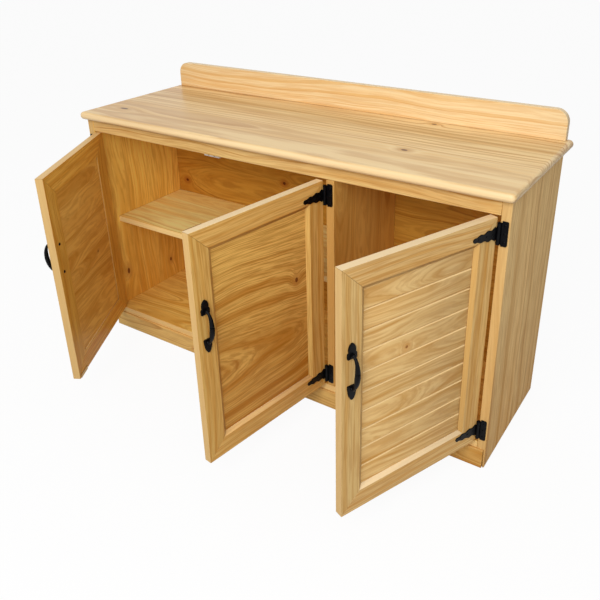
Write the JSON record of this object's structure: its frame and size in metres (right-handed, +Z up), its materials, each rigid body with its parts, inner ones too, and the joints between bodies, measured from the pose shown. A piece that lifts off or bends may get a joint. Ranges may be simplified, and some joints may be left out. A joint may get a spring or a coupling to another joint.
{
  "type": "sideboard",
  "caption": "Pine sideboard with a low upright behind its top, a shelved double bay and a single bay, hinged framed doors with black strap hinges and bow pulls.",
  "frame": {"origin": "middle of the plinth underside on the floor, in the plane of the front edges of the sides", "axes": "+X along the length to the right seen from the front, +Y from the front to the back, +Z up"},
  "size_m": [1.32, 0.829, 0.8105],
  "materials": {
    "pine_top": "clear satin varnish",
    "pine_front": "clear satin varnish",
    "pine_inside": "clear satin varnish",
    "black_iron": "satin black",
    "strike_steel": "plain steel",
    "catch_plastic": "white"
  },
  "bodies": {
    "carcass": {"top_board": "pine_top", "backsplash": "pine_top", "left_side": "pine_front", "right_side": "pine_front", "centre_partition": "pine_front", "bottom_board": "pine_inside", "back_panel": "pine_inside", "top_front_rail": "pine_front", "top_back_rail": "pine_inside", "plinth": "pine_front", "shelf": "pine_inside", "hinge_leaf_left_top": "black_iron", "hinge_leaf_left_bottom": "black_iron", "hinge_pin_left_top": "black_iron", "hinge_pin_left_bottom": "black_iron", "magnetic_catch_left": "catch_plastic", "hinge_leaf_middle_top": "black_iron", "hinge_leaf_middle_bottom": "black_iron", "hinge_pin_middle_top": "black_iron", "hinge_pin_middle_bottom": "black_iron", "magnetic_catch_middle": "catch_plastic", "hinge_leaf_right_top": "black_iron", "hinge_leaf_right_bottom": "black_iron", "hinge_pin_right_top": "black_iron", "hinge_pin_right_bottom": "black_iron", "magnetic_catch_right": "catch_plastic"},
    "door_left": {"left_hinge_stile": "pine_front", "left_free_stile": "pine_front", "left_top_rail": "pine_front", "left_bottom_rail": "pine_front", "left_panel": "pine_front", "left_strap_top": "black_iron", "left_strap_bottom": "black_iron", "left_handle": "black_iron", "left_handle_screw_top": "black_iron", "left_handle_screw_bottom": "black_iron", "left_strike": "strike_steel"},
    "door_middle": {"middle_hinge_stile": "pine_front", "middle_free_stile": "pine_front", "middle_top_rail": "pine_front", "middle_bottom_rail": "pine_front", "middle_panel": "pine_front", "middle_strap_top": "black_iron", "middle_strap_bottom": "black_iron", "middle_handle": "black_iron", "middle_handle_screw_top": "black_iron", "middle_handle_screw_bottom": "black_iron", "middle_strike": "strike_steel"},
    "door_right": {"right_hinge_stile": "pine_front", "right_free_stile": "pine_front", "right_top_rail": "pine_front", "right_bottom_rail": "pine_front", "right_panel": "pine_front", "right_strap_top": "black_iron", "right_strap_bottom": "black_iron", "right_handle": "black_iron", "right_handle_screw_top": "black_iron", "right_handle_screw_bottom": "black_iron", "right_strike": "strike_steel"}
  },
  "joints": [
    {"name": "left_door_hinge", "type": "hinge", "parent": "carcass", "child": "door_left", "pos_m": [-0.627, -0.0048, 0.3735], "axis": [0, 0, -1], "range_deg": [-61, 109]},
    {"name": "middle_door_hinge", "type": "hinge", "parent": "carcass", "child": "door_middle", "pos_m": [0.193, -0.0048, 0.3735], "axis": [0, 0, 1], "range_deg": [-81, 34]},
    {"name": "right_door_hinge", "type": "hinge", "parent": "carcass", "child": "door_right", "pos_m": [0.627, -0.0048, 0.3735], "axis": [0, 0, 1], "range_deg": [-68, 102]}
  ]
}
